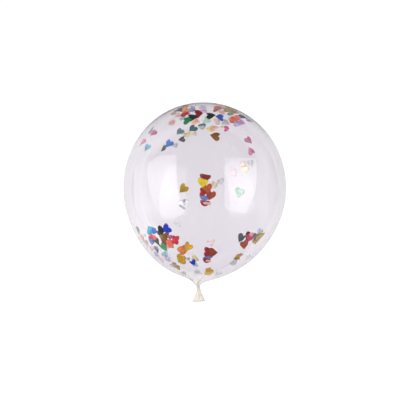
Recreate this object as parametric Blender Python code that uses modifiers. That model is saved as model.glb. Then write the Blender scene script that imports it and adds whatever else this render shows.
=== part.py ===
# A clear party balloon, tied off in a knot, lying on its side.
# Units are metres, and +Z is up. The crown points along +Y and the knot along -Y.
# The origin is on the small flat spot it rests on, straight below its widest ring.
import math

import bpy
import numpy as np

# The inflated body, measured along its own axis from the widest ring
BODY_WIDTH = 0.280
CROWN_HEIGHT = 0.1484
BELLY_DEPTH = 0.1568
CROWN_FULLNESS = 2.04  # exponent of the crown's superellipse, 2 for an ellipse
BELLY_FULLNESS = 1.90
CROWN_LEAN = -0.0021  # how far the crown's pole and the belly's foot have swung aside
BELLY_LEAN = -0.0044
FLAT_SPOT_WIDTH = 0.048

# The funnel that gathers the belly into the neck, and its step aside
FUNNEL_WIDTH = 0.084
FUNNEL_LENGTH = 0.0235
FUNNEL_STEP = -0.0074
STEP_DROP = 0.006  # the step starts this far below the funnel's top
STEP_LENGTH = 0.009
BELLY_PULL = 1.36  # the curve's two handles, as shares of the funnel's length
NECK_PULL = 0.47
NECK_WIDTH = 0.0052

# The knot, one smooth turn round the neck
KNOT_WIDTH = 0.0070
KNOT_LENGTH = 0.0050
KNOT_ROUNDNESS = 0.6  # power of the sine that swells it, and 0 would be a plain cylinder
KNOT_SLANT = math.radians(14)

# The tail below the knot: a pressed tube with a rolled lip round its open mouth
TAIL_LENGTH = 0.0179
LIP_SPAN = 0.0220
LIP_DEPTH = 0.0080
LIP_BEAD = 0.0018
LIP_SLANT = math.radians(6)
BEAD_START = math.radians(60)
BEAD_TURN = math.radians(240)
TAIL_FLARE = 0.9  # power of the flare's curve, and 1 would be a straight cone
TAIL_LEAN = 0.0016
TAIL_LEAN_LENGTH = 0.010
TAIL_WALL = 0.0007
CLOSED_LENGTH = 0.005  # below the knot the tail is drawn shut for this far
CLOSED_END_WIDTH = 0.0040

# Pleats gathered round the neck and down the tail
PLEATS = 8
PLEAT_DEPTH = 0.15  # share of the radius
SMOOTH_SHARE = 0.3  # the funnel's upper part stays smooth for this share of its length

# Facets
AROUND = 48
CROWN_RINGS = 14
BELLY_RINGS = 14
FUNNEL_RINGS = 9
KNOT_RINGS = 6
TAIL_RINGS = 7
MOUTH_RINGS = 5
BEAD_POINTS = 5

BODY_RADIUS = BODY_WIDTH / 2
NECK_RADIUS = NECK_WIDTH / 2
FLAT_SPOT_DEPTH = BODY_RADIUS - math.sqrt(BODY_RADIUS**2 - (FLAT_SPOT_WIDTH / 2) ** 2)
LIE_HEIGHT = BODY_RADIUS - FLAT_SPOT_DEPTH

# Heights along the balloon's own axis, which run down from the widest ring at 0
FUNNEL_TOP = -BELLY_DEPTH * (1 - (FUNNEL_WIDTH / BODY_WIDTH) ** BELLY_FULLNESS) ** (1 / BELLY_FULLNESS)
KNOT_TOP = FUNNEL_TOP - FUNNEL_LENGTH
KNOT_FOOT = KNOT_TOP - KNOT_LENGTH
LIP_HEIGHT = KNOT_FOOT - TAIL_LENGTH


def smooth_step(t):
    """0 below 0, 1 above 1, and an even S between them."""
    t = np.clip(t, 0.0, 1.0)
    return t * t * (3 - 2 * t)


def superellipse(angle, reach, fullness):
    """Radius and height on the body's outline, from the widest ring at 0 to the axis at 90 degrees."""
    radius = BODY_RADIUS * math.cos(angle) ** (2 / fullness)
    return radius, reach * math.sin(angle) ** (2 / fullness)


def crown_profile():
    """From the pole at the top down to the widest ring."""
    angles = [math.pi / 2 * (1 - i / CROWN_RINGS) for i in range(CROWN_RINGS + 1)]
    points = [superellipse(angle, CROWN_HEIGHT, CROWN_FULLNESS) for angle in angles]
    points[0] = (0.0, CROWN_HEIGHT)
    return points


def belly_profile():
    """From below the widest ring to where the funnel takes over."""
    last = math.acos((FUNNEL_WIDTH / BODY_WIDTH) ** (BELLY_FULLNESS / 2))
    angles = [last * (i + 1) / BELLY_RINGS for i in range(BELLY_RINGS)]
    points = [superellipse(angle, BELLY_DEPTH, BELLY_FULLNESS) for angle in angles]
    return [(radius, -depth) for radius, depth in points]


def funnel_profile():
    """A Bezier curve that leaves the belly along its slope and enters the knot along the neck."""
    start = np.array([FUNNEL_WIDTH / 2, FUNNEL_TOP])
    end = np.array([NECK_RADIUS, KNOT_TOP])
    share = np.array([start[0] / BODY_RADIUS, -start[1] / BELLY_DEPTH])
    across, down = share ** (BELLY_FULLNESS - 1) / np.array([BODY_RADIUS, BELLY_DEPTH])
    slope = np.array([-down, -across]) / math.hypot(across, down)
    near_belly = start + slope * FUNNEL_LENGTH * BELLY_PULL
    near_knot = end + np.array([0.0, FUNNEL_LENGTH * NECK_PULL])
    points = []
    for i in range(1, FUNNEL_RINGS + 1):
        t = i / FUNNEL_RINGS
        u = 1 - t
        point = u**3 * start + 3 * u * u * t * near_belly + 3 * u * t * t * near_knot + t**3 * end
        points.append(tuple(point))
    return points


def knot_profile():
    """The turn of the knot swells out from the neck and back in."""
    swell = KNOT_WIDTH / 2 - NECK_RADIUS
    points = []
    for i in range(1, KNOT_RINGS + 1):
        t = i / KNOT_RINGS
        radius = NECK_RADIUS + swell * math.sin(math.pi * t) ** KNOT_ROUNDNESS
        points.append((radius, KNOT_TOP - KNOT_LENGTH * t))
    points[-1] = (NECK_RADIUS, KNOT_FOOT)
    return points


def tail_radius(height):
    """Outer radius of the tail before it is pressed flat: a slow flare from the knot to the lip."""
    t = np.clip((KNOT_FOOT - height) / TAIL_LENGTH, 0.0, 1.0)
    wall_at_lip = LIP_SPAN / 2 - LIP_BEAD / 2
    return NECK_RADIUS + (wall_at_lip - NECK_RADIUS) * t**TAIL_FLARE


def tail_profile():
    """Down the outside of the tail, round the rolled lip, and back up inside the mouth."""
    bead_radius = LIP_BEAD / 2
    wall_end = LIP_HEIGHT + LIP_BEAD
    step = (KNOT_FOOT - wall_end) / TAIL_RINGS
    points = []
    for i in range(1, TAIL_RINGS + 1):
        height = KNOT_FOOT - step * i
        points.append((float(tail_radius(height)), height))
    bead_centre = float(tail_radius(LIP_HEIGHT))
    for i in range(BEAD_POINTS):
        turn = BEAD_START - BEAD_TURN * i / (BEAD_POINTS - 1)
        radius = bead_centre + bead_radius * math.cos(turn)
        points.append((radius, LIP_HEIGHT + bead_radius * (1 + math.sin(turn))))
    mouth_end = KNOT_FOOT - CLOSED_LENGTH
    for i in range(1, MOUTH_RINGS + 1):
        height = wall_end + (mouth_end - wall_end) * i / MOUTH_RINGS
        radius = float(tail_radius(height)) - TAIL_WALL
        points.append((max(radius, CLOSED_END_WIDTH / 2), height))
    points.append((0.0, mouth_end))
    return points


def turned_mesh(profile):
    """The outline turned about Z by a Screw, as a plain mesh that can then be shaped."""
    outline = bpy.data.meshes.new("outline")
    corners = [(radius, 0.0, height) for radius, height in profile]
    outline.from_pydata(corners, [(i, i + 1) for i in range(len(corners) - 1)], [])
    turned = bpy.data.objects.new("outline", outline)
    bpy.context.scene.collection.objects.link(turned)
    screw = turned.modifiers.new("turn", "SCREW")
    screw.axis = "Z"
    screw.steps = AROUND
    screw.render_steps = AROUND
    screw.use_merge_vertices = True
    screw.merge_threshold = 0.00001
    bpy.context.view_layer.update()
    graph = bpy.context.evaluated_depsgraph_get()
    mesh = bpy.data.meshes.new_from_object(turned.evaluated_get(graph))
    bpy.data.objects.remove(turned)
    return mesh


def near_knot(z):
    """1 on the knot, and down to 0 half its length above and below it."""
    knot_middle = (KNOT_TOP + KNOT_FOOT) / 2
    return smooth_step(2 - 2 * np.abs(z - knot_middle) / KNOT_LENGTH)


def gather(x, y, z):
    """Pleats: ripples that start in the funnel, skip the knot and fade out before the lip."""
    down_funnel = (FUNNEL_TOP - z) / FUNNEL_LENGTH
    in_funnel = smooth_step((down_funnel - SMOOTH_SHARE) / (1 - SMOOTH_SHARE))
    above_lip = smooth_step(2 * (z - LIP_HEIGHT - LIP_BEAD) / TAIL_LENGTH)
    strength = PLEAT_DEPTH * in_funnel * above_lip * (1 - near_knot(z))
    ripple = 1 + strength * np.cos(PLEATS * np.arctan2(y, x))
    return x * ripple, y * ripple, z


def press_flat(x, y, z):
    """The tail is pressed from front and back, and both its walls move in alike."""
    down_tail = smooth_step((KNOT_FOOT - z) / TAIL_LENGTH)
    moved_in = tail_radius(z) * (1 - LIP_DEPTH / LIP_SPAN) * down_tail
    radius = np.maximum(np.hypot(x, y), 1e-9)
    return x, y * np.clip(1 - moved_in / radius, 0.0, 1.0), z


def slant(x, y, z):
    """The knot's turn and the lip each slope a little, opposite ways."""
    at_lip = smooth_step((KNOT_FOOT - z) / TAIL_LENGTH)
    slope = math.tan(LIP_SLANT) * at_lip - math.tan(KNOT_SLANT) * near_knot(z) * (1 - at_lip)
    return x, y, z + x * slope


def lean(x, y, z):
    """Crown and belly swing aside, the funnel steps further, and the tail swings back."""
    crown = np.clip(z / CROWN_HEIGHT, 0.0, 1.0) ** 2
    belly = np.clip(-z / BELLY_DEPTH, 0.0, 1.0) ** 2
    funnel = smooth_step((FUNNEL_TOP - STEP_DROP - z) / STEP_LENGTH)
    tail = smooth_step(0.5 + (KNOT_TOP - z) / TAIL_LEAN_LENGTH)
    aside = CROWN_LEAN * crown + BELLY_LEAN * belly + FUNNEL_STEP * funnel + TAIL_LEAN * tail
    return x + aside, y, z


def latex():
    """Clear latex: a see-through, glossy film with a cool, faintly milky tint."""
    material = bpy.data.materials.new("clear_latex")
    material.use_nodes = True
    shader = material.node_tree.nodes["Principled BSDF"]
    shader.inputs["Base Color"].default_value = (0.86, 0.83, 0.87, 1.0)
    shader.inputs["Roughness"].default_value = 0.12
    shader.inputs["Metallic"].default_value = 0.0
    shader.inputs["Transmission Weight"].default_value = 0.9
    return material


def balloon_object(collection):
    """The balloon, shaped upright about its own axis and then laid on its back."""
    profile = crown_profile() + belly_profile() + funnel_profile() + knot_profile() + tail_profile()
    mesh = turned_mesh(profile)
    mesh.name = "balloon"
    points = np.empty(len(mesh.vertices) * 3, np.float32)
    mesh.vertices.foreach_get("co", points)
    x, y, z = points.reshape(-1, 3).astype(float).T
    for shape in (gather, press_flat, slant, lean):
        x, y, z = shape(x, y, z)
    mesh.vertices.foreach_set("co", np.stack([x, y, z], axis=1).astype(np.float32).ravel())
    mesh.materials.append(latex())
    mesh.shade_smooth()
    balloon = bpy.data.objects.new("balloon", mesh)
    collection.objects.link(balloon)
    balloon.rotation_euler = (-math.pi / 2, 0.0, 0.0)
    balloon.location = (0.0, 0.0, LIE_HEIGHT)
    return balloon


def cut_flat_spot(balloon, collection):
    """Everything below the surface that the balloon lies on is taken off."""
    side = BODY_WIDTH
    bpy.ops.mesh.primitive_cube_add(size=side, location=(0.0, 0.0, -side / 2))
    cutter = bpy.context.active_object
    cutter.name = "floor_cutter"
    for owner in list(cutter.users_collection):
        owner.objects.unlink(cutter)
    collection.objects.link(cutter)
    cutter.display_type = "WIRE"
    cutter.hide_render = True
    cut = balloon.modifiers.new("flat_spot", "BOOLEAN")
    cut.operation = "DIFFERENCE"
    cut.object = cutter


def new_collection(name):
    collection = bpy.data.collections.new(name)
    bpy.context.scene.collection.children.link(collection)
    return collection


def main():
    for old in list(bpy.data.objects):
        bpy.data.objects.remove(old)
    balloon = balloon_object(new_collection("confetti_balloon"))
    cut_flat_spot(balloon, new_collection("cutters"))


main()
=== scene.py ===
# A clear latex balloon lying on its side, with foil hearts clinging to the inside of its film.
# Metres throughout. The balloon's own axis runs along Y, its crown at +Y and its knot at -Y.
import math

import bpy
import numpy as np
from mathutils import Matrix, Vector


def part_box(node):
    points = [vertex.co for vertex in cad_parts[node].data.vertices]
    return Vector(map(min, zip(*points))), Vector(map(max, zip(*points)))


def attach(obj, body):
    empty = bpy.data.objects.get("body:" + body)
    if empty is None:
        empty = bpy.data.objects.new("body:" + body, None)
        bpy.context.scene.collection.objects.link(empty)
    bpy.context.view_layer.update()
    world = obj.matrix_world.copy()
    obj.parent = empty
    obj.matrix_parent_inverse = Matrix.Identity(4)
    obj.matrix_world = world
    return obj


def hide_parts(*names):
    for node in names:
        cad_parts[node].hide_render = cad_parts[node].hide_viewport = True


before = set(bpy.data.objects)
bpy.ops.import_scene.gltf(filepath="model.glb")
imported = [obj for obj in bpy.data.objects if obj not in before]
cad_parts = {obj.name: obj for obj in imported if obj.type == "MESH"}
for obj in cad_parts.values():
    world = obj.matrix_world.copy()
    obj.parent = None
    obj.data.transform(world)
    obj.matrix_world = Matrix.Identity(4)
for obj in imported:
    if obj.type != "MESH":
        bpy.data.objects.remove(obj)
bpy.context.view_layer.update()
balloonLow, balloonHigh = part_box("balloon")

bodyRadius = (balloonHigh[0] - balloonLow[0]) / 2
crownReach = balloonHigh[1]
axisHeight = balloonHigh[2] - bodyRadius  # the balloon's axis lies this far above the floor

# The photograph's frame: where the widest ring's centre shows in it, and how wide the ring is there.
# The camera looks straight down, so that one pixel spans photo["pixel"] metres at the ring's height.
photo = {
    "side": 400,
    "centreX": 204.8,
    "centreY": 188.8,
    "bodyWidth": 162.2,
    "lens": 100.0,
    "sensor": 36.0,
    "solveRounds": 8,  # rounds in which a spot's height on the film is found
    "widestShare": 0.985,  # spots stay within this share of the film's radius
}
photo["pixel"] = 2 * bodyRadius / photo["bodyWidth"]
photo["distance"] = photo["side"] * photo["pixel"] * photo["lens"] / photo["sensor"]
photo["cameraX"] = (photo["side"] / 2 - photo["centreX"]) * photo["pixel"]
photo["cameraY"] = (photo["centreY"] - photo["side"] / 2) * photo["pixel"]
cameraPlace = np.array([photo["cameraX"], photo["cameraY"], axisHeight + photo["distance"]])


# An sRGB hex colour as linear light
def linearColour(hexColour):
    parts = [int(hexColour[i:i + 2], 16) / 255 for i in (1, 3, 5)]
    return [p / 12.92 if p <= 0.04045 else ((p + 0.055) / 1.055) ** 2.4 for p in parts] + [1.0]


# Adds a node with its settings and its inputs
def addNode(tree, kind, inputs, settings=None):
    node = tree.nodes.new(kind)
    for key, value in (settings or {}).items():
        setattr(node, key, value)
    setInputs(tree, node, inputs)
    return node


# Gives each of a node's inputs a value, or a link if the value is another node's output
def setInputs(tree, node, inputs):
    for key, value in inputs.items():
        if isinstance(value, bpy.types.NodeSocket):
            tree.links.new(value, node.inputs[key])
        else:
            node.inputs[key].default_value = value


# A new material with one Principled shader, whose plain values are given
def newMaterial(name, inputs):
    material = bpy.data.materials.new(name)
    material.use_nodes = True
    tree = material.node_tree
    shader = tree.nodes["Principled BSDF"]
    setInputs(tree, shader, inputs)
    return material, tree, shader


tiny = 1e-9  # keeps a division off zero


# An even S from 0 to 1: 3t^2 - 2t^3
def smoothStep(t):
    t = np.clip(t, 0.0, 1.0)
    return t * t * (3 - 2 * t)


# Each row's vector, scaled to length 1
def unit(vectors):
    return vectors / np.linalg.norm(vectors, axis=1)[:, None]


# The sum of products of each row's vectors
def dot(a, b):
    return np.einsum("ij,ij->i", a, b)


# Turns point and face arrays into an object. Its faces are turned round if the volume that they hold, the sum
# of a . (b x c) over their triangles, comes out below zero, so that they point outwards.
def meshObject(name, points, faceArrays, materials):
    first = np.concatenate([faces[:, :3] for faces in faceArrays])
    rest = np.concatenate([faces[:, [0, 2, 3]] for faces in faceArrays if faces.shape[1] == 4])
    a, b, c = (points[np.concatenate([first, rest])[:, i]] for i in range(3))
    inwards = np.einsum("ij,ij->", a, np.cross(b, c)) < 0
    faces = [row for array in faceArrays for row in (array[:, ::-1] if inwards else array).tolist()]
    mesh = bpy.data.meshes.new(name)
    mesh.from_pydata(points.tolist(), [], faces)
    mesh.shade_smooth()
    for material in materials:
        mesh.materials.append(material)
    made = bpy.data.objects.new(name, mesh)
    bpy.context.scene.collection.objects.link(made)
    return made


# A closed skin from a grid of rings. The first and last ring are single points, and fans close them.
def closedSkin(name, rings, materials):
    points = np.concatenate([rings[0, :1], rings[1:-1].reshape(-1, 3), rings[-1, :1]])
    index = 1 + np.arange(len(points) - 2).reshape(len(rings) - 2, -1)
    beside = np.roll(index, -1, axis=1)
    quads = np.stack([index[:-1], index[1:], beside[1:], beside[:-1]], axis=-1).reshape(-1, 4)
    top = np.stack([np.zeros_like(index[0]), index[0], beside[0]], axis=-1)
    bottom = np.stack([np.full_like(index[0], len(points) - 1), beside[-1], index[-1]], axis=-1)
    return meshObject(name, points, [quads, top, bottom], materials)


# The film: the whole skin above the knot, as a thin wall with the air inside
film = {
    "crownFullness": 2.04,  # powers of the two superellipses
    "bellyFullness": 1.90,
    "bellyDepth": 0.1568,
    "crownLean": -0.0021,
    "bellyLean": -0.0044,
    "funnelWidth": 0.084,  # at its top, where the belly ends
    "funnelLength": 0.0235,
    "funnelStep": -0.0074,  # how far the funnel steps aside
    "stepDrop": 0.006,  # from this far below its top
    "stepLength": 0.009,
    "bellyPull": 1.36,  # lengths of the funnel curve's two handles, as shares of its own length
    "neckPull": 0.47,
    "neckWidth": 0.0052,
    "intoKnot": 0.0012,  # how far the film reaches into the knot
    "wall": 0.0003,  # drawn thicker than the real 0.05 mm, so that it stays a clean closed shell
    "floorBlend": 0.0012,  # how soft the bend is between the film's round and its flat spot
    "creamFrom": 0.008,  # the film turns creamy from this far above the funnel's top
    "creamTo": 0.002,  # to this far above the knot
    "around": 176,
    "crownRings": 60,
    "bellyRings": 60,
    "funnelRings": 40,
}
funnelShare = film["funnelWidth"] / 2 / bodyRadius
funnelTop = -film["bellyDepth"] * (1 - funnelShare ** film["bellyFullness"]) ** (1 / film["bellyFullness"])
knotTop = funnelTop - film["funnelLength"]
neckRadius = film["neckWidth"] / 2

# The knot and the tail below it
tail = {
    "knotWidth": 0.0070,
    "knotLength": 0.0050,
    "knotRoundness": 0.6,
    "knotSlant": math.radians(14),
    "wraps": 3,  # ridges of wound latex on the knot
    "wrapDepth": 0.07,
    "length": 0.0178,
    "lipSpan": 0.0220,
    "lipDepth": 0.0080,
    "lipBead": 0.0018,
    "lipSlant": math.radians(6),
    "flare": 0.9,  # 1 is a straight cone, and less opens it sooner
    "lean": 0.0016,
    "leanLength": 0.010,
    "wall": 0.0007,
    "closedLength": 0.005,  # below the knot the tail is pressed shut for this long
    "closedWidth": 0.0040,
    "lipTurn": (60, -180),  # degrees that the rolled lip turns, from its outside to its inside
    # The gathered core that reaches up into the funnel: radius, and height above the knot
    "core": [(0.0, 0.0150), (0.0006, 0.0140), (0.0012, 0.0100), (0.0017, 0.0060), (0.0020, 0.0025)],
    "coreEnd": 0.85,  # share of the neck's radius with which the core goes into the knot
    "knotRings": 22,
    "tailRings": 40,
    "mouthRings": 20,
    "beadPoints": 13,
    "around": 144,
}
knotFoot = knotTop - tail["knotLength"]
lipHeight = knotFoot - tail["length"]

# Pleats are ripples of the radius: how many go round, how deep as a share of it, and their phase
pleats = {
    "ripples": [(8, 0.10, 0.0), (13, 0.045, 1.1), (21, 0.03, 2.3)],
    "smoothShare": 0.3,  # the funnel's upper part stays smooth for this share of its length
}


# Radius and height from the crown's pole to the knot. The crown and the belly are quarters of superellipses,
# radius = a cos(t)^(2/n) and height = b sin(t)^(2/n), and a Bezier curve goes on from there to the neck.
def bodyOutline():
    angle = np.linspace(math.pi / 2, 0, film["crownRings"])
    power = 2 / film["crownFullness"]
    crown = np.stack([bodyRadius * np.cos(angle) ** power, crownReach * np.sin(angle) ** power])
    crown[0, 0] = 0.0
    angle = np.linspace(0, math.acos(funnelShare ** (film["bellyFullness"] / 2)), film["bellyRings"])[1:]
    power = 2 / film["bellyFullness"]
    belly = np.stack([bodyRadius * np.cos(angle) ** power, -film["bellyDepth"] * np.sin(angle) ** power])
    start, end = belly[:, -1], np.array([neckRadius, knotTop])
    slope = belly[:, -1] - belly[:, -2]
    slope /= np.linalg.norm(slope)
    handleA = start + slope * film["funnelLength"] * film["bellyPull"]
    handleB = end + np.array([0.0, film["funnelLength"] * film["neckPull"]])
    t = np.linspace(0, 1, film["funnelRings"])[1:]
    u = 1 - t
    weights = np.stack([u**3, 3 * u * u * t, 3 * u * t * t, t**3])
    funnel = np.stack([start, handleA, handleB, end], axis=1) @ weights
    intoKnot = np.array([[neckRadius], [knotTop - film["intoKnot"]]])
    return np.concatenate([crown, belly, funnel, intoKnot], axis=1)


# The outline moved inwards by the wall along its normal, which is its slope turned by a right angle
def insetOutline(outline, wall):
    across, down = np.gradient(outline, axis=1)
    length = np.hypot(across, down)
    inset = outline - wall * np.stack([-down, across]) / length
    inset[0] = np.maximum(inset[0], 0.0)
    inset[0, 0] = 0.0
    return inset


# 1 on the knot, and down to 0 half its length above and below it
def nearKnot(height):
    middle = (knotTop + knotFoot) / 2
    return smoothStep(2 - 2 * np.abs(height - middle) / tail["knotLength"])


# Outer radius of the tail before it is pressed flat: from the neck's to the lip's with t^flare
def tailRadius(height):
    t = np.clip((knotFoot - height) / tail["length"], 0.0, 1.0)
    lipRadius = tail["lipSpan"] / 2 - tail["lipBead"] / 2
    return neckRadius + (lipRadius - neckRadius) * t ** tail["flare"]


# How far the balloon's middle has swung aside at a height. It goes with the square of the height up the crown
# and down the belly, with an S-shaped step in the funnel and a swing back at the knot.
def leanAt(height):
    crown = film["crownLean"] * np.clip(height / crownReach, 0.0, 1.0) ** 2
    belly = film["bellyLean"] * np.clip(-height / film["bellyDepth"], 0.0, 1.0) ** 2
    step = film["funnelStep"] * smoothStep((funnelTop - film["stepDrop"] - height) / film["stepLength"])
    swing = tail["lean"] * smoothStep(0.5 + (knotTop - height) / tail["leanLength"])
    return crown + belly + step + swing


# Turns an outline about the axis, x = r cos(turn) and y = r sin(turn), with ripples of the radius for the
# pleats and the knot's wraps. The tail is pressed flat along y, the knot and the lip slant, and all of it
# leans and is laid down.
def skinRings(outline, around):
    radius, height = outline[:, :, None]
    turn = np.linspace(0, 2 * math.pi, around, endpoint=False)[None, :]
    downFunnel = (funnelTop - height) / film["funnelLength"]
    inFunnel = smoothStep((downFunnel - pleats["smoothShare"]) / (1 - pleats["smoothShare"]))
    aboveLip = smoothStep(2 * (height - lipHeight - tail["lipBead"]) / tail["length"])
    inKnot = nearKnot(height)
    strength = inFunnel * aboveLip * (1 - inKnot)
    waves = sum(depth * np.cos(count * turn + phase) for count, depth, phase in pleats["ripples"])
    ripple = 1 + strength * waves
    wrapTurn = turn - (height - knotTop) / tail["knotLength"] * math.pi
    ripple = ripple + tail["wrapDepth"] * inKnot * np.cos(tail["wraps"] * wrapTurn)
    x, y = radius * ripple * np.cos(turn), radius * ripple * np.sin(turn)
    downTail = smoothStep((knotFoot - height) / tail["length"])
    pressed = tailRadius(height) * (1 - tail["lipDepth"] / tail["lipSpan"]) * downTail
    y = y * np.clip(1 - pressed / np.maximum(np.hypot(x, y), tiny), 0.0, 1.0)
    slope = math.tan(tail["lipSlant"]) * downTail
    slope = slope - math.tan(tail["knotSlant"]) * inKnot * (1 - downTail)
    along = height + x * slope
    return np.stack([x + leanAt(height), along, axisHeight - y], axis=-1)


# The film gives where it lies: a height h over the floor becomes (h + sqrt(h^2 + blend^2)) / 2, so that what
# would be near or below the floor comes down onto it in a smooth bend
def settled(rings, floor):
    above = rings[..., 2] - floor
    rings[..., 2] = floor + (above + np.hypot(above, film["floorBlend"])) / 2
    return rings


# Clear latex, dipped and blown up tight: water-clear with a cool milky cast and a glossy skin, and creamy
# where it isn't stretched
def clearLatex():
    clear, cream = "#F2EFF3", "#FCF8F4"
    material, tree, shader = newMaterial("clearLatex", {
        "Roughness": 0.03,
        "IOR": 1.50,
        "Transmission Weight": 0.99,
    })
    place = addNode(tree, "ShaderNodeTexCoord", {})
    axes = addNode(tree, "ShaderNodeSeparateXYZ", {"Vector": place.outputs["Object"]})
    creaminess = addNode(tree, "ShaderNodeMapRange", {
        "Value": axes.outputs["Y"],
        "From Min": funnelTop + film["creamFrom"],
        "From Max": knotTop + film["creamTo"],
    }, {"interpolation_type": "SMOOTHSTEP"})
    tint = addNode(tree, "ShaderNodeMix", {
        0: creaminess.outputs["Result"],
        6: linearColour(clear),
        7: linearColour(cream),
    }, {"data_type": "RGBA"})
    clouds = addNode(tree, "ShaderNodeTexNoise", {
        "Vector": place.outputs["Object"],
        "Scale": 1 / 0.045,  # faint clouds 45 mm across, from the dipping
        "Detail": 3.0,
    })
    thin = addNode(tree, "ShaderNodeMapRange", {
        "Value": clouds.outputs["Fac"],
        "To Min": 0.985,
        "To Max": 1.0,
    })
    clouded = addNode(tree, "ShaderNodeVectorMath", {
        0: tint.outputs[2],
        1: thin.outputs["Result"],
    }, {"operation": "MULTIPLY"})
    tree.links.new(clouded.outputs["Vector"], shader.inputs["Base Color"])
    return material


# Unstretched latex: an even cream with a satin sheen
def creamLatex():
    material, tree, shader = newMaterial("creamLatex", {
        "Roughness": 0.42,
        "IOR": 1.50,
    })
    place = addNode(tree, "ShaderNodeTexCoord", {})
    mottle = addNode(tree, "ShaderNodeTexNoise", {
        "Vector": place.outputs["Object"],
        "Scale": 1 / 0.004,  # a faint mottling 4 mm across
        "Detail": 4.0,
    })
    tint = addNode(tree, "ShaderNodeMix", {
        0: mottle.outputs["Fac"],
        6: linearColour("#B0A9A1"),
        7: linearColour("#BBB6AE"),
    }, {"data_type": "RGBA"})
    tree.links.new(tint.outputs[2], shader.inputs["Base Color"])
    return material


outerWall = bodyOutline()
innerWall = insetOutline(outerWall, film["wall"])
outerRings = settled(skinRings(outerWall, film["around"]), 0.0)
innerRings = settled(skinRings(innerWall, film["around"]), film["wall"])
balloonFilm = closedSkin("balloonFilm", np.concatenate([outerRings, innerRings[::-1]]), [clearLatex()])
balloonFilm.visible_shadow = False  # light goes through the film, so it throws no shadow
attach(balloonFilm, "root")
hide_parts("balloon")
print("film made:", len(balloonFilm.data.polygons), "faces")


# Radius and height down the core of gathered latex that reaches up into the funnel, down the knot and the
# tail, round the rolled lip and up inside the mouth. The knot swells by sin(pi t) to a power.
def tailOutline():
    t = np.linspace(0, 1, tail["knotRings"])
    swell = tail["knotWidth"] / 2 - neckRadius
    knotRadius = neckRadius + swell * np.sin(math.pi * t) ** tail["knotRoundness"]
    knotRadius[-1] = neckRadius
    knot = np.stack([knotRadius, knotTop - tail["knotLength"] * t])
    coreRadius, aboveKnot = np.array([*tail["core"], (neckRadius * tail["coreEnd"], 0.0)]).T
    core = np.stack([coreRadius, knotTop + aboveKnot])
    bead = tail["lipBead"] / 2
    wallEnd = lipHeight + tail["lipBead"]
    height = np.linspace(knotFoot, wallEnd, tail["tailRings"] + 1)[1:]
    outside = np.stack([tailRadius(height), height])
    turn = np.radians(np.linspace(*tail["lipTurn"], tail["beadPoints"]))
    lip = np.stack([tailRadius(lipHeight) + bead * np.cos(turn), lipHeight + bead * (1 + np.sin(turn))])
    mouthEnd = knotFoot - tail["closedLength"]
    height = np.linspace(wallEnd, mouthEnd, tail["mouthRings"] + 1)[1:]
    inside = np.stack([np.maximum(tailRadius(height) - tail["wall"], tail["closedWidth"] / 2), height])
    return np.concatenate([core, knot, outside, lip, inside, [[0.0], [mouthEnd]]], axis=1)


knotAndTail = closedSkin("knotAndTail", skinRings(tailOutline(), tail["around"]), [creamLatex()])
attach(knotAndTail, "root")
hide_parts("balloon")
print("knot and tail made:", len(knotAndTail.data.polygons), "faces")

# The confetti: hearts punched from metallised film
heart = {
    "width": 0.0168,
    "length": 0.0166,
    "plumpness": 0.15,
    "thickness": 0.00012,
    "outlinePoints": 26,
    "innerRings": (0.36, 0.7),  # rings between the middle and the outline, as shares of the outline
    "gap": 0.0003,  # between the film and the hearts that cling to it
    "layerStep": 0.0007,  # from one layer of hearts to the next
    "overlap": 0.85,  # hearts nearer than this share of their width lie on each other
    "bends": (12, 40),  # degrees
    "nearSizes": (0.94, 1.02),
    "farSizes": (0.84, 0.92),
    "carryRounds": 2,  # rounds in which a heart that pokes into the film is carried inside it
    # Unless a heart says otherwise: the degrees that its sides turn up from its middle (0 for one of the
    # bends), the degrees that its ends curl up, the share of the way that it turns from lying on the film to
    # facing the camera, its size, and its layer, counted from the film inwards (-1 for the first free one)
    "usual": {"bend": 0, "curl": 5, "lift": 0.15, "size": 1.0, "layer": -1},
    # The back's colour is the face's mixed towards this milky white: a painted haze over the far hearts,
    # which show their backs
    "paintedHazeColour": "#EFEDF2",
    "paintedHazeShare": 0.3,  # share of the painted haze in the back's colour
    "faceFinish": {"Metallic": 0.5, "Roughness": 0.3},
    "backFinish": {"Metallic": 0.3, "Roughness": 0.4},
    "seed": 7,
}
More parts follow.
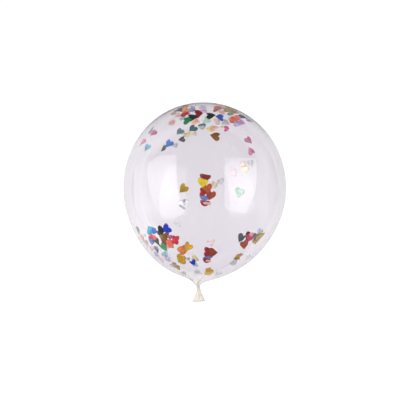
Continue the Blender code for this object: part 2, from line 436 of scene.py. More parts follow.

# Each foil: its colour, and its hearts on the film's near side and its far side, as the photograph shows
# them. A heart is its middle's x and y in the photograph, the degrees that it is turned there, 0 with its
# point down and 90 with its point to the right, and what sets it apart from a usual one.
# A few near entries, marked below, are no hearts but slivers laid on one: painted highlights and painted
# shade.
foils = {
    "garnet": {
        "colour": "#8C0A16",
        "near": [(205.0, 177.4, -11, {"bend": 25, "curl": 93, "size": 1.12, "layer": 0}),
                 (248.6, 237.0, -37, {"lift": 0.1, "bend": 100, "layer": 6})],
    },
    "blushAndGlint": {
        "colour": "#FFC4B4",
        # The near ones are no hearts but pale slivers laid on the crimson and raspberry hearts: painted
        # highlights. The far one is a heart.
        "near": [(207.0, 203.5, -99, {"bend": 175, "size": 0.86, "layer": 0}),
                 (251.6, 234.6, 10, {"size": 0.5}),
                 (208.4, 260.9, -95, {"bend": 175, "lift": 0.8, "size": 0.62, "layer": 0})],
        "far": [(217.4, 120.9, 10, {"size": 0.9})],
    },
    "shell": {
        "colour": "#FFDCDC",
        "far": [(233.9, 173.4, 35, {"size": 1.05}), (211.2, 243.4, 15), (151.5, 249.3, 30, {"lift": 0}),
                (161.5, 260.2, 45)],
    },
    "lemon": {
        "colour": "#E8D018",
        "near": [(202.9, 182.8, -6, {"bend": 30, "size": 1.08, "layer": 1})],
        "far": [(211.0, 129.4, 40), (222.4, 127.0, 10, {"size": 0.45})],
    },
    "amber": {
        "colour": "#B8540E",
        "near": [(207.6, 188.8, 12, {"bend": 40, "curl": 35, "lift": 0.6, "layer": 5}),
                 (244.3, 245.5, -6, {"lift": 0.3, "size": 0.94}), (184.3, 106.0, -70, {"size": 0.8})],
    },
    "rust": {
        "colour": "#9C3A0C",
        "near": [(210.4, 195.6, -18, {"bend": 30, "size": 1.05, "layer": 6}),
                 (213.3, 252.8, 90, {"lift": 0.5, "curl": 32, "layer": 0})],
    },
    "ruby": {
        "colour": "#96081E",
        "near": [(203.5, 192.1, 85, {"curl": 60, "size": 0.94, "layer": 7}),
                 (198.8, 113.2, 95, {"lift": 0.6, "curl": 50}),
                 (208.4, 251.9, 88, {"lift": 0.8, "curl": 48, "layer": 1})],
    },
    "raspberry": {
        "colour": "#D84470",
        "near": [(249.9, 238.3, -30, {"lift": 0.3, "size": 0.85, "layer": 0}),
                 (151.3, 237.0, 60, {"lift": 0.5, "size": 0.62})],
    },
    "periwinkle": {
        "colour": "#7489D2",
        "near": [(204.6, 198.3, -4, {"curl": 105, "size": 1.02, "layer": 8}),
                 (208.4, 256.7, 85, {"lift": 0.3, "bend": 70, "layer": 2}),
                 (151.7, 242.0, 10, {"lift": 0.3, "size": 0.82})],
        "far": [(157.0, 255.3, 70, {"lift": 0.1, "size": 0.85})],
    },
    "crimson": {
        "colour": "#B01C26",
        "near": [(204.7, 203.6, -8, {"curl": 100, "lift": 0.6, "layer": 9}),
                 (206.5, 260.9, -8, {"curl": 90, "lift": 0.8, "size": 0.84, "layer": 1})],
    },
    "scarlet": {
        "colour": "#D83030",
        "near": [(185.8, 113.2, 87, {"bend": 35, "size": 0.95}),
                 (175.5, 240.0, -100, {"curl": 75, "lift": 0.85, "size": 0.94}),
                 (174.8, 240.1, 80, {"curl": 75, "lift": 0.85, "size": 0.86})],
    },
    "coral": {
        "colour": "#FF7660",
        "near": [(171.0, 242.9, 120, {"lift": 0.4, "size": 0.95}),
                 (155.0, 237.8, 80, {"lift": 0.4, "size": 0.58}),
                 (234.6, 119.4, 70, {"lift": 0.4, "curl": 45}),
                 (238.0, 117.8, 60, {"lift": 0.3, "curl": 40, "size": 0.9})],
        "far": [(168.6, 245.6, -20)],
    },
    "salmon": {
        "colour": "#ECA494",
        "near": [(240.8, 255.1, -40, {"size": 0.45})],
        "far": [(172.4, 122.9, 30, {"lift": 0.3}), (215.3, 126.9, 85, {"lift": 0, "bend": 60}),
                (222.6, 112.3, 20, {"lift": 0.3, "size": 0.8})],
    },
    "brick": {
        "colour": "#C05C4C",
        "near": [(217.8, 107.6, 82, {"lift": 0.3, "curl": 50, "layer": 0}),
                 (246.6, 242.4, 0, {"size": 0.62, "layer": 0})],
    },
    "peach": {
        "colour": "#F0A67C",
        "near": [(221.6, 107.0, 72, {"lift": 0.15, "size": 1.05, "layer": 1})],
        "far": [(196.2, 121.3, 80, {"lift": 0.3}), (142.2, 238.6, 35, {"lift": 0.05}),
                (178.4, 115.2, 60, {"lift": 0.4, "size": 0.75})],
    },
    "orange": {
        "colour": "#FCA04C",
        "near": [(184.9, 109.3, -60, {"lift": 0.4, "curl": 50, "size": 0.95})],
    },
    "copper": {
        "colour": "#E48A40",
        "near": [(182.9, 250.4, 25, {"lift": 0.8, "curl": 48, "size": 1.06}),
                 (184.0, 250.5, 100, {"lift": 0.8, "curl": 40, "size": 1.0})],
    },
    "gold": {
        "colour": "#DCA828",
        "near": [(181.4, 260.6, -75, {"lift": 0.8, "curl": 48, "size": 0.95}),
                 (187.8, 247.0, -40, {"lift": 0.8, "curl": 55, "size": 0.94})],
    },
    "brass": {
        "colour": "#B89614",
        "near": [(182.9, 189.0, -42, {"bend": 45, "lift": 0.4, "size": 1.04}),
                 (257.4, 241.0, 138, {"lift": 0.1, "bend": 75, "size": 0.95}),
                 (262.0, 236.0, 138, {"lift": 0.1, "bend": 80}),
                 (236.9, 258.1, -80, {"lift": 0.3, "bend": 50, "size": 0.8}),
                 (228.8, 109.2, 66, {"lift": 0.35}), (234.2, 111.2, 62, {"lift": 0.35}),
                 (177.9, 268.4, 50, {"size": 0.7})],
    },
    "mustard": {
        "colour": "#D4AA1C",
        "near": [(180.4, 259.1, -25, {"lift": 0.8, "curl": 48}),
                 (208.1, 272.4, -62, {"lift": 0.85, "curl": 45, "bend": 85}),
                 (209.1, 272.3, -15, {"lift": 0.85, "curl": 75, "size": 0.9})],
    },
    "straw": {
        "colour": "#C8B848",
        "far": [(195.5, 259.6, 75, {"bend": 70}), (187.2, 135.2, 15, {"lift": 0.3, "size": 0.93})],
    },
    "sand": {
        "colour": "#CCBA98",
        "near": [(174.4, 266.3, 55, {"lift": 0.1})],
        "far": [(214.3, 185.6, -20, {"bend": 70}), (194.5, 133.9, 40, {"size": 0.7}),
                (218.2, 123.2, 60, {"size": 0.6}), (183.8, 274.4, 60, {"lift": 0.1}),
                (146.5, 243.4, 35, {"lift": 0.05})],
    },
    "ivory": {
        "colour": "#F6E4BC",
        "far": [(244.1, 165.2, 20, {"size": 1.05}), (246.0, 169.6, 15, {"size": 1.1})],
    },
    "bronze": {
        "colour": "#925600",
        "near": [(214.7, 135.6, -97, {"size": 1.07}), (164.6, 242.2, 20, {"size": 0.85, "layer": 3})],
        "far": [(174.0, 113.3, 60, {"size": 0.8})],
    },
    "olive": {
        "colour": "#8A6200",
        "near": [(163.6, 237.3, 5, {"lift": 0.5, "curl": 72, "size": 1.14, "layer": 2})],
    },
    "emerald": {
        "colour": "#1C8A48",
        "near": [(187.7, 119.4, 97, {"lift": 0.2, "curl": 40})],
    },
    "jade": {
        "colour": "#46B468",
        "near": [(163.7, 247.6, 45, {"lift": 0.12, "size": 1.06})],
    },
    "mint": {
        "colour": "#98D0B0",
        "far": [(207.8, 120.2, 70, {"lift": 0.3, "size": 1.1}), (239.4, 193.0, -18, {"size": 1.25}),
                (145.0, 235.6, 30, {"size": 0.4})],
    },
    "sage": {
        "colour": "#7CA478",
        "near": [(231.3, 113.6, 60, {"lift": 0.3, "size": 0.72}), (172.8, 247.4, 30, {"size": 0.28})],
    },
    "forest": {
        "colour": "#1C4626",
        "near": [(156.4, 242.6, 48, {"lift": 0, "bend": 90, "size": 0.95})],
    },
    "pine": {
        "colour": "#0A1C10",
        "near": [(192.6, 116.9, 85, {"lift": 0.12, "size": 1.18}), (211.2, 115.0, 88, {"size": 1.03}),
                 (161.0, 230.8, 80, {"lift": 0.7, "curl": 60, "size": 0.98, "layer": 1})],
    },
    "teal": {
        "colour": "#487C7C",
        "near": [(192.4, 128.6, -50, {"size": 0.9})],
    },
    "slate": {
        "colour": "#6E8C88",
        "near": [(179.4, 131.7, -45, {"size": 0.82}), (256.0, 237.2, -22, {"bend": 90, "size": 0.8}),
                 (137.8, 231.2, 28, {"lift": -0.1, "bend": 30, "size": 1.06}),
                 (202.5, 125.6, 20, {"bend": 40, "curl": 40, "size": 0.85, "layer": 1})],
    },
    "aqua": {
        "colour": "#7CC0D4",
        "near": [(146.6, 147.7, -28, {"size": 0.84})],
        "far": [(183.0, 118.0, 70, {"size": 0.75}), (165.4, 255.2, 45, {"lift": 0.3}),
                (196.0, 265.5, 70, {"size": 0.75})],
    },
    "cobalt": {
        "colour": "#2C6ECC",
        "near": [(154.0, 232.0, -25, {"lift": 0.5, "size": 0.6, "layer": 0}),
                 (219.6, 116.4, -100, {"curl": 45, "lift": 0.18})],
    },
    "sky": {
        "colour": "#48BCEC",
        "near": [(150.5, 229.8, -146, {"lift": 0.7, "curl": 35, "layer": 1})],
    },
    "azure": {
        "colour": "#4880D4",
        "near": [(168.7, 143.9, -38, {"size": 0.86})],
    },
    "haze": {
        "colour": "#98A4C4",
        "near": [(193.1, 109.2, 60, {"lift": 0.5, "size": 0.8}),
                 (250.0, 119.9, 56, {"lift": 0.1, "size": 0.9})],
    },
    "royal": {
        "colour": "#082CC8",
        "near": [(166.2, 229.2, -52, {"lift": 0.85, "curl": 75, "size": 1.06, "layer": 0}),
                 (193.2, 262.9, 40, {"lift": 0.4, "size": 0.68, "layer": 1})],
    },
    "violet": {
        "colour": "#322078",
        "near": [(243.3, 116.3, 58, {"lift": 0.12})],
    },
    "plum": {
        "colour": "#543058",
        "near": [(178.2, 109.2, -60, {"lift": 0.1, "bend": 60, "size": 1.25})],
    },
    "magenta": {
        "colour": "#D86494",
        "near": [(227.0, 128.0, 90, {"curl": 70, "bend": 60, "lift": 0.5, "size": 0.74}),
                 (153.0, 132.9, -45, {"size": 0.84}), (170.0, 237.6, 10, {"size": 0.6, "layer": 3})],
    },
    "rose": {
        "colour": "#DC8CA8",
        "near": [(249.2, 140.4, 41, {"size": 0.88}), (251.1, 150.5, -145, {"size": 0.86}),
                 (141.6, 142.3, -30, {"lift": -0.1, "bend": 60, "size": 0.95})],
        "far": [(232.8, 120.4, 20)],
    },
    "orchid": {
        "colour": "#DCA0D0",
        "near": [(242.0, 122.0, 60, {"lift": 0.3, "size": 0.85})],
        "far": [(237.0, 112.0, 60), (204.2, 110.9, 60)],
    },
    "lilac": {
        "colour": "#C8C4EC",
        "near": [(237.6, 123.6, 70, {"lift": 0.3, "size": 0.8})],
        "far": [(203.2, 107.3, 80), (168.3, 260.0, 45, {"size": 0.9})],
    },
    "smoke": {
        "colour": "#5C5E68",
        "near": [(241.4, 238.6, -36, {"lift": 0.2, "bend": 50}),
                 (181.4, 139.0, -70, {"bend": 50, "size": 0.75}),
                 (163.0, 148.1, -26, {"bend": 140, "size": 0.82}),
                 (156.0, 250.6, 34, {"lift": 0, "bend": 140, "size": 0.92})],
    },
    "pewterAndFoldShade": {
        "colour": "#A8ACAE",
        "near": [(151.0, 129.6, 137, {"lift": -0.08, "bend": 25}),
                 # The next two are no hearts but grey slivers laid on the silver heart: painted shade of its
                 # folds
                 (182.2, 207.2, 55, {"bend": 175, "size": 0.85, "layer": 0}),
                 (183.8, 201.4, 0, {"bend": 60, "size": 0.36, "layer": 0})],
        "far": [(226.4, 122.7, 60), (233.2, 262.9, -80), (188.4, 259.2, 30, {"size": 0.6}),
                (221.3, 182.0, 20, {"size": 0.84}), (251.2, 163.4, 10, {"size": 0.9}),
                (175.6, 145.6, 20, {"lift": 0.3, "size": 0.75}), (259.8, 232.8, -30)],
    },
    "steel": {
        "colour": "#D0D4D8",
        "near": [(201.6, 127.8, 0, {"size": 0.55, "layer": 0})],
        "far": [(198.3, 273.2, 80, {"size": 1.1})],
    },
    "silver": {
        "colour": "#F8F8FC",
        "near": [(183.4, 204.4, 15, {"lift": 0.1, "bend": 12, "size": 0.97}),
                 (189.4, 263.6, 30, {"lift": 0.5, "size": 0.42, "layer": 0})],
    },
    "pearl": {
        "colour": "#E2E8E2",
        "far": [(178.4, 224.0, 30), (218.6, 273.4, 85), (248.0, 257.8, -45)],
    },
}


# Where a spot of the photograph lies on a wall of the film, on its near side (1) or far side (-1), and the
# wall's outward normal there. A point that is z above the ring's plane shows as if it were (1 - z/distance)
# as far from the camera's axis, which is solved by repeating z = sqrt(r(y)^2 - x^2). The normal leans along y
# by -dr/dy.
def wallAt(wall, spots, sides):
    heights, radii = wall[1, ::-1], wall[0, ::-1]
    flatX = (spots[:, 0] - photo["centreX"]) * photo["pixel"] - photo["cameraX"]
    flatY = (photo["centreY"] - spots[:, 1]) * photo["pixel"] - photo["cameraY"]
    up = np.zeros(len(spots))
    for _ in range(photo["solveRounds"]):
        nearness = 1 - up / photo["distance"]
        y = photo["cameraY"] + flatY * nearness
        radius = np.interp(y, heights, radii)
        offAxis = photo["cameraX"] + flatX * nearness - leanAt(y)
        widest = photo["widestShare"] * radius
        offAxis = np.clip(offAxis, -widest, widest)
        up = sides * np.sqrt(radius**2 - offAxis**2)
    slope = np.interp(y, heights, np.gradient(radii, heights))
    normals = unit(np.stack([offAxis / radius, -slope, up / radius], axis=1))
    return np.stack([offAxis + leanAt(y), y, axisHeight + up], axis=1), normals


# How far points lie inside a wall, along its normal: (r(y) - offAxis) / sqrt(1 + r'(y)^2)
def roomInside(wall, points):
    heights, radii = wall[1, ::-1], wall[0, ::-1]
    y = points[..., 1]
    offAxis = np.hypot(points[..., 0] - leanAt(y), points[..., 2] - axisHeight)
    slope = np.interp(y, heights, np.gradient(radii, heights))
    return (np.interp(y, heights, radii) - offAxis) / np.hypot(1.0, slope)


# Hearts that lie on each other get one layer each: one more than the highest layer they touch
def layersOf(middles):
    apart = np.linalg.norm(middles[:, None] - middles[None], axis=2)
    layers = np.zeros(len(middles))
    for i in range(1, len(middles)):
        touching = layers[:i][apart[i, :i] < heart["overlap"] * heart["width"]]
        layers[i] = touching.max() + 1 if len(touching) else 0
    return layers


# The heart curve x = 16 sin^3 t, y = 13 cos t - 5 cos 2t - 2 cos 3t - cos 4t, made plumper by a share of the
# ellipse x = 16 sin t, y = 13 cos t
def heartOutline():
    t = np.linspace(0, 2 * math.pi, heart["outlinePoints"], endpoint=False)
    x = 16 * np.sin(t) ** 3 + heart["plumpness"] * 16 * np.sin(t)
    y = 13 * np.cos(t) - 5 * np.cos(2 * t) - 2 * np.cos(3 * t) - np.cos(4 * t)
    y += heart["plumpness"] * 13 * np.cos(t)
    x *= heart["width"] / np.ptp(x)
    y *= heart["length"] / np.ptp(y)
    return np.stack([x, y - (y.max() + y.min()) / 2])


# Where the points of every heart lie across it, along it and behind its middle. It is bent round its upright
# axis and curled round its level one, both to arcs: x = r sin(x/r), with depth r (1 - cos(x/r)).
def bentHearts(sizes, bends, curls):
    outline = heartOutline()
    inside = [outline * share for share in heart["innerRings"]]
    flat = np.concatenate([np.zeros((2, 1)), *inside, outline], axis=1)
    across, along = flat[0] * sizes[:, None], flat[1] * sizes[:, None]
    bendArc = (sizes * heart["width"] / 2 / np.radians(bends))[:, None]
    curlArc = (sizes * heart["length"] / 2 / np.radians(curls))[:, None]
    depth = bendArc * (1 - np.cos(across / bendArc)) + curlArc * (1 - np.cos(along / curlArc))
    return bendArc * np.sin(across / bendArc), curlArc * np.sin(along / curlArc), depth


# Each heart's level axis, upright axis and facing. Its plane faces f, between the wall's normal and the
# view c, and its upright axis is the picture's direction d brought into that plane, d - c (d.f)/(c.f).
def heartAxes(normals, view, rows):
    turned, lifts = np.radians(rows["turn"]), rows["lift"][:, None]
    facing = unit(normals * rows["side"][:, None] * (1 - lifts) + view * lifts)
    upright = np.stack([-np.sin(turned), np.cos(turned), np.zeros_like(turned)], axis=1)
    upright = unit(upright - view * (dot(upright, facing) / dot(view, facing))[:, None])
    return np.cross(upright, facing), upright, facing


# The points of every heart's face and back. Each heart is carried along the view until it is inside the
# wall, which falls away from its middle by distance^2 / 2R, and then by what it still lacks. It stays off
# the floor.
def heartPoints(middles, normals, rows, bends, sizes, layers):
    across, along, depth = bentHearts(sizes, bends, rows["curl"])
    view = unit(cameraPlace - middles)
    level, upright, facing = heartAxes(normals, view, rows)
    inwards = -facing * rows["side"][:, None]
    face = across[..., None] * level[:, None] + along[..., None] * upright[:, None]
    face = face + depth[..., None] * inwards[:, None]
    outwards = np.einsum("ijk,ik->ij", face, normals)
    outwards += (np.sum(face**2, axis=2) - outwards**2) / (2 * bodyRadius)
    outwards = outwards.max(axis=1) + heart["gap"] + layers * heart["layerStep"]
    step = view / dot(view, normals)[:, None]  # along the view, and one metre along the wall's normal
    face = face + (middles - step * outwards[:, None])[:, None]
    for _ in range(heart["carryRounds"]):
        short = np.maximum(heart["gap"] - roomInside(innerWall, face).min(axis=1), 0.0)
        face = face - (step * short[:, None])[:, None]
    lowest = 2 * film["wall"] + film["floorBlend"] / 2 + layers * heart["layerStep"]
    face[..., 2] += np.maximum(lowest - face[..., 2].min(axis=1), 0.0)[:, None]
    return face, face + heart["thickness"] * inwards[:, None]


# Faces of one heart, for its face and its back: a fan round the middle, rings of quads, and the cut edge
def heartFaces():
    n = heart["outlinePoints"]
    rings = len(heart["innerRings"]) + 1
    ring = 1 + np.arange(n)
    beside = np.roll(ring, -1)
    fan = np.stack([np.zeros(n, int), ring, beside], axis=1)
    band = np.stack([ring, ring + n, beside + n, beside], axis=1)
    bands = np.concatenate([band + n * i for i in range(rings - 1)])
    rim, rimBeside = ring + n * (rings - 1), beside + n * (rings - 1)
    perFace = n * rings + 1
    edge = np.stack([rim, rim + perFace, rimBeside + perFace, rimBeside], axis=1)
    return fan, bands, edge


# Metallised polyester foil: a mirror-like colour on its face and a paler tint on its back, with faint
# creases.
# The creases' noise also scales the colour darker and lighter: a painted shade and glint along them.
def foilMaterial(name, colour, finish):
    material, tree, shader = newMaterial(name, {
        **finish,
        "Specular IOR Level": 0.03,  # hardly any sheen, so that the dark foils stay dark
    })
    place = addNode(tree, "ShaderNodeTexCoord", {})
    creases = addNode(tree, "ShaderNodeTexNoise", {
        "Vector": place.outputs["Object"],
        "Scale": 1 / 0.005,  # creases about 5 mm apart
        "Detail": 2.0,
    })
    # painted shade and glint: the colour is scaled from 0.80 to 1.12 with the crease noise, in place of their
    # reflections
    shade = addNode(tree, "ShaderNodeMapRange", {
        "Value": creases.outputs["Fac"],
        "From Min": 0.36,
        "From Max": 0.64,
        "To Min": 0.80,
        "To Max": 1.12,
    })
    shaded = addNode(tree, "ShaderNodeVectorMath", {
        0: colour[:3],
        1: shade.outputs["Result"],
    }, {"operation": "MULTIPLY"})
    tree.links.new(shaded.outputs["Vector"], shader.inputs["Base Color"])
    bump = addNode(tree, "ShaderNodeBump", {
        "Height": creases.outputs["Fac"],
        "Strength": 0.35,
        "Distance": 0.0006,
    })
    tree.links.new(bump.outputs["Normal"], shader.inputs["Normal"])
    return material


# Every heart's values, as one array for each kind of value
def heartRows():
    rows = []
    for number, foil in enumerate(foils.values()):
        for side, key in ((1, "near"), (-1, "far")):
            for x, y, turn, *changes in foil.get(key, []):
                values = {**heart["usual"], **(changes[0] if changes else {})}
                rows.append({"x": x, "y": y, "turn": turn, "side": side, "foil": number, **values})
    return {key: np.array([row[key] for row in rows], float) for key in rows[0]}


def makeConfetti():
    rows = heartRows()
    count = len(rows["x"])
    rng = np.random.default_rng(heart["seed"])
    middles, normals = wallAt(innerWall, np.stack([rows["x"], rows["y"]], axis=1), rows["side"])
    layers = np.where(rows["layer"] < 0, layersOf(middles), rows["layer"])
    bends = np.where(rows["bend"] > 0, rows["bend"], rng.uniform(*heart["bends"], count))
    nearSizes, farSizes = rng.uniform(*heart["nearSizes"], count), rng.uniform(*heart["farSizes"], count)
    sizes = rows["size"] * np.where(rows["side"] > 0, nearSizes, farSizes)
    fan, bands, edge = heartFaces()
    face, back = heartPoints(middles, normals, rows, bends, sizes, layers)
    perFace = face.shape[1]
    for number, (name, foil) in enumerate(foils.items()):
        mine = rows["foil"] == number
        points = np.concatenate([face[mine], back[mine]], axis=1)
        starts = (np.arange(len(points)) * 2 * perFace)[:, None, None]
        parts = [fan, bands, fan[:, ::-1] + perFace, bands[:, ::-1] + perFace, edge[:, ::-1]]
        faces = [(part[None] + starts).reshape(-1, part.shape[1]) for part in parts]
        front = linearColour(foil["colour"])
        # The back: the face's colour with a share of painted haze, the film's milky white, mixed in
        hazeShare = heart["paintedHazeShare"]
        hazedBack = [a * (1 - hazeShare) + b * hazeShare for a, b in zip(front, linearColour(heart["paintedHazeColour"]))]
        materials = [
            foilMaterial(name + "Foil", front, heart["faceFinish"]),
            foilMaterial(name + "FoilBack", hazedBack, heart["backFinish"]),
        ]
        piece = meshObject("confetti" + name.capitalize(), points.reshape(-1, 3), faces, materials)
        backs = np.concatenate([np.full(len(part), k in (2, 3)) for k, part in enumerate(faces)])
        piece.data.polygons.foreach_set("material_index", backs.astype(np.int32))
        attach(piece, "root")
    print("confetti made:", count, "hearts in", len(foils), "foils")


makeConfetti()


# A sheet that gives light, brighter or dimmer from point to point
def glowingSheet(name, points, glow, across, closed):
    index = np.arange(len(points)).reshape(-1, across)
    if closed:
        index = np.concatenate([index, index[:, :1]], axis=1)
    quads = np.stack([index[:-1, :-1], index[:-1, 1:], index[1:, 1:], index[1:, :-1]], axis=-1).reshape(-1, 4)
    mesh = bpy.data.meshes.new(name)
    mesh.from_pydata(points.tolist(), [], quads.tolist())
    mesh.attributes.new("glow", "FLOAT", "POINT").data.foreach_set("value", glow.astype(np.float32))
    material = bpy.data.materials.new(name)
    material.use_nodes = True
    tree = material.node_tree
    tree.nodes.clear()
    glowing = addNode(tree, "ShaderNodeAttribute", {}, {"attribute_name": "glow"})
    light = addNode(tree, "ShaderNodeEmission", {"Strength": glowing.outputs["Fac"]})
    addNode(tree, "ShaderNodeOutputMaterial", {"Surface": light.outputs["Emission"]})
    mesh.materials.append(material)
    sheet = bpy.data.objects.new(name, mesh)
    bpy.context.scene.collection.objects.link(sheet)
    return sheet


# The light table under the balloon, which the camera sees
table = {
    "reach": 0.405,  # just beyond the picture, so that the film mirrors little of it
    "points": 91,
    "glow": (1.11, 1.04),  # towards the knot, and towards the crown
    "spread": (-0.05, 0.07),  # where along the balloon the one glow turns into the other
    # Brighter spots: x and y in the photograph, reach in its pixels, and by which share brighter
    "spots": [(149, 232, 21, 0.17), (267, 234, 20, 0.06), (194, 268, 10, 0.05)],
}


# Its glow is an S along the balloon, and each spot adds a share that falls off as exp(-(distance / reach)^2)
def makeTable():
    side = np.linspace(-table["reach"], table["reach"], table["points"])
    x, y = (a.ravel() for a in np.meshgrid(side, side))
    low, high = table["spread"]
    atKnot, atCrown = table["glow"]
    upwards = smoothStep((y - low) / (high - low))
    glow = atKnot * (1 - upwards) + atCrown * upwards
    behind = photo["pixel"] * (1 + axisHeight / photo["distance"])  # the table lies below the widest ring
    for spotX, spotY, spotReach, share in table["spots"]:
        atX = photo["cameraX"] + (spotX - photo["side"] / 2) * behind
        atY = photo["cameraY"] + (photo["side"] / 2 - spotY) * behind
        glow *= 1 + share * np.exp(-((x - atX) ** 2 + (y - atY) ** 2) / (spotReach * behind) ** 2)
    points = np.stack([x, y, np.zeros_like(x)], axis=1)
    sheet = glowingSheet("lightTable", points, glow, table["points"], False)
    sheet.visible_glossy = False


# The cards round it, which show only mirrored in the film, as one sheet of rings round the balloon. It is
# bright to the balloon's left and right, and dark beyond its crown and knot.
cards = {
    "below": 0.002,  # the sheet lies this far under the table
    "firstRing": 0.02,
    "lastRing": 15.0,
    "rings": 90,
    "around": 72,
    # What the film mirrors at these distances from the balloon's middle, to each side of it
    "reach": (0.20, 0.31, 0.50, 1.20, 2.50),
    "left": (0.95, 0.80, 1.05, 1.4, 1.5),
    "right": (0.85, 0.44, 0.54, 0.6, 0.5),
    "crown": (0.10, 0.0, 0.0, 0.0, 0.0),
    "knot": (0.75, 0.40, 0.20, 0.12, 0.12),
    "sector": (math.radians(62), math.radians(25)),  # the side cards fade between these angles
}


# The rings' radii grow by one factor from each to the next
def makeCards():
    reach = np.geomspace(cards["firstRing"], cards["lastRing"], cards["rings"])
    reach = np.concatenate([[0.0], reach])[:, None]
    turn = np.linspace(-math.pi, math.pi, cards["around"], endpoint=False)[None]
    x, y = (reach * np.cos(turn)).ravel(), (reach * np.sin(turn)).ravel()
    left, right, crown, knot = (
        np.interp(np.hypot(x, y), cards["reach"], cards[side])
        for side in ("left", "right", "crown", "knot")
    )
    fades, full = cards["sector"]
    offSide = np.arctan2(np.abs(y), np.abs(x))
    inSector = smoothStep((fades - offSide) / (fades - full))
    glow = np.where(y > 0, crown, knot) * (1 - inSector) + np.where(x < 0, left, right) * inSector
    points = np.stack([x, y, np.full_like(x, -cards["below"])], axis=1)
    sheet = glowingSheet("mirroredCards", points, glow, cards["around"], True)
    sheet.visible_camera = False
    sheet.visible_transmission = False
    sheet.visible_diffuse = False


# The soft boxes, and the paler parts of the walls. Each is known by the shape in which it mirrors in the
# film: rows of the photograph's y, and the x of its side by the balloon's middle and of its outer side. Its
# glow has its full strength at its middle, falls to a share of that over its spread, starts from a share at
# its head and fades out at its foot, all as shares of its sides. Its distance from the film is measured
# level.
softboxes = {
    "softboxLeft": {
        "rows": [(155.5, 176.3, 160.0), (160.0, 176.3, 152.5), (165.0, 176.3, 148.3), (171.0, 176.5, 147.0),
                 (180.0, 177.0, 147.7), (190.0, 178.0, 149.6), (199.0, 180.0, 152.2), (207.0, 184.0, 155.4),
                 (212.0, 186.0, 158.8), (216.5, 178.5, 162.0), (220.5, 168.5, 165.5)],
        "distance": 1.3,
        "strength": 2.75,
        "edgeShare": 0.35,
        "middle": (0.45, 0.45),
        "spread": (0.9, 0.42),
        "footFade": 0.03,
    },
    "softboxRight": {
        "rows": [(157.5, 224.6, 255.0), (160.0, 224.6, 256.0), (169.0, 224.6, 256.9), (180.4, 224.6, 256.8),
                 (187.3, 224.6, 256.2), (196.0, 224.6, 253.9), (204.0, 224.6, 250.5), (209.7, 224.6, 247.8),
                 (212.0, 233.5, 246.8), (215.4, 243.5, 245.2)],
        "distance": 1.3,
        "strength": 2.1,
        "edgeShare": 0.42,
        "middle": (0.72, 0.52),
        "spread": (0.85, 0.44),
        "footFade": 0.04,
    },
    "paleWall": {
        "rows": [(112.0, 186.0, 140.0), (120.0, 184.0, 132.0), (136.0, 180.0, 124.0), (157.5, 178.0, 121.0)],
        "distance": 1.36,
        "strength": 0.85,
        "edgeShare": 0.1,
        "spread": (0.45, 0.5),
        "footFade": 0.01,
    },
    "wallLeft": {
        "rows": [(157.5, 158.0, 134.0), (165.0, 149.2, 134.0), (171.0, 147.8, 134.0), (180.0, 148.5, 134.0),
                 (190.0, 150.4, 134.0), (199.0, 153.0, 134.0), (207.0, 156.2, 134.5), (212.0, 159.6, 136.0),
                 (225.0, 167.0, 139.0)],
        "distance": 1.36,
        "strength": 1.35,
        "edgeShare": 0.85,
        "spread": (0.5, 0.5),
        "headShare": 0.27,
        "headFade": 0.22,
        "footFade": 0.33,
    },
    "wallRight": {
        "rows": [(157.5, 257.0, 268.0), (169.0, 257.9, 268.0), (180.4, 257.8, 268.0), (187.3, 257.2, 268.0),
                 (196.0, 254.9, 268.0), (204.0, 251.5, 268.0), (214.4, 246.0, 268.0), (230.0, 240.0, 265.0)],
        "distance": 1.36,
        "strength": 0.7,
        "edgeShare": 0.5,
        "middle": (1.0, 0.5),
        "spread": (0.6, 0.6),
        "footFade": 0.3,
    },
}

# What a soft box has unless it says otherwise, and how many points it has across and down
usualBox = {"middle": (0.5, 0.5), "headShare": 1.0, "headFade": 0.01, "grid": (28, 20)}


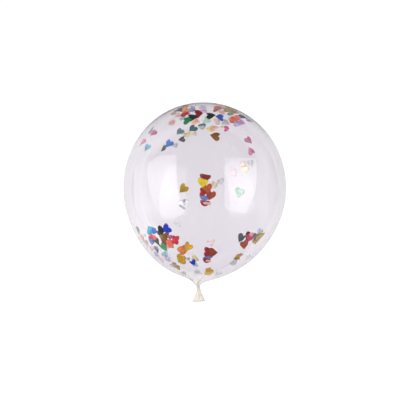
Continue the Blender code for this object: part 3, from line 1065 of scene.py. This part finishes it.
# A soft box is a bent sheet. Each of its points is where the film mirrors the camera's view of a spot of its
# shape: the view's direction v is turned back by the wall's normal n, as 2 (v.n) n - v, and followed
# outwards. Its glow falls off as exp(-x^2 - y^2) from its middle.
def makeSoftbox(name, box):
    across, down = box["grid"]
    s, t = (a.ravel() for a in np.meshgrid(np.linspace(0, 1, across), np.linspace(0, 1, down)))
    rowY, innerX, outerX = np.array(box["rows"]).T
    spotY = rowY[0] + (rowY[-1] - rowY[0]) * t
    spotX = np.interp(spotY, rowY, innerX) * (1 - s) + np.interp(spotY, rowY, outerX) * s
    middles, normals = wallAt(outerWall, np.stack([spotX, spotY], axis=1), np.ones(len(s)))
    view = unit(cameraPlace - middles)
    thrown = 2 * dot(view, normals)[:, None] * normals - view
    points = middles + thrown * (box["distance"] / np.hypot(thrown[:, 0], thrown[:, 1]))[:, None]
    offX, offY = (s - box["middle"][0]) / box["spread"][0], (t - box["middle"][1]) / box["spread"][1]
    glow = box["strength"] * (box["edgeShare"] + (1 - box["edgeShare"]) * np.exp(-offX**2 - offY**2))
    glow *= box["headShare"] + (1 - box["headShare"]) * smoothStep(t / box["headFade"])
    glow *= smoothStep((1 - t) / box["footFade"])
    panel = glowingSheet(name, points, glow, across, False)
    panel.visible_camera = False
    panel.visible_shadow = False


# A wide lamp overhead that lights the foils' colours but shows in no reflection, and a dim room
fill = {"strength": 4.2, "width": math.radians(60)}
room = {"colour": (0.10, 0.10, 0.11), "strength": 1.0}


def makeFill():
    data = bpy.data.lights.new("fill", "SUN")
    data.energy = fill["strength"]
    data.angle = fill["width"]
    lamp = bpy.data.objects.new("fill", data)
    lamp.visible_glossy = False
    lamp.visible_transmission = False
    bpy.context.scene.collection.objects.link(lamp)


def makeRoom():
    world = bpy.data.worlds.new("studioRoom")
    world.use_nodes = True
    background = world.node_tree.nodes["Background"]
    background.inputs["Color"].default_value = (*room["colour"], 1.0)
    background.inputs["Strength"].default_value = room["strength"]
    bpy.context.scene.world = world
    bpy.context.scene.view_settings.view_transform = "Standard"


# The camera looks straight down, with the crown at the top of the picture
def makeCamera():
    data = bpy.data.cameras.new("camera")
    data.lens = photo["lens"]
    data.sensor_width = photo["sensor"]
    camera = bpy.data.objects.new("camera", data)
    camera.location = cameraPlace
    bpy.context.scene.collection.objects.link(camera)
    bpy.context.scene.camera = camera


makeTable()
makeCards()
for boxName, box in softboxes.items():
    makeSoftbox(boxName, {**usualBox, **box})
makeFill()
makeRoom()
makeCamera()
print("studio made")
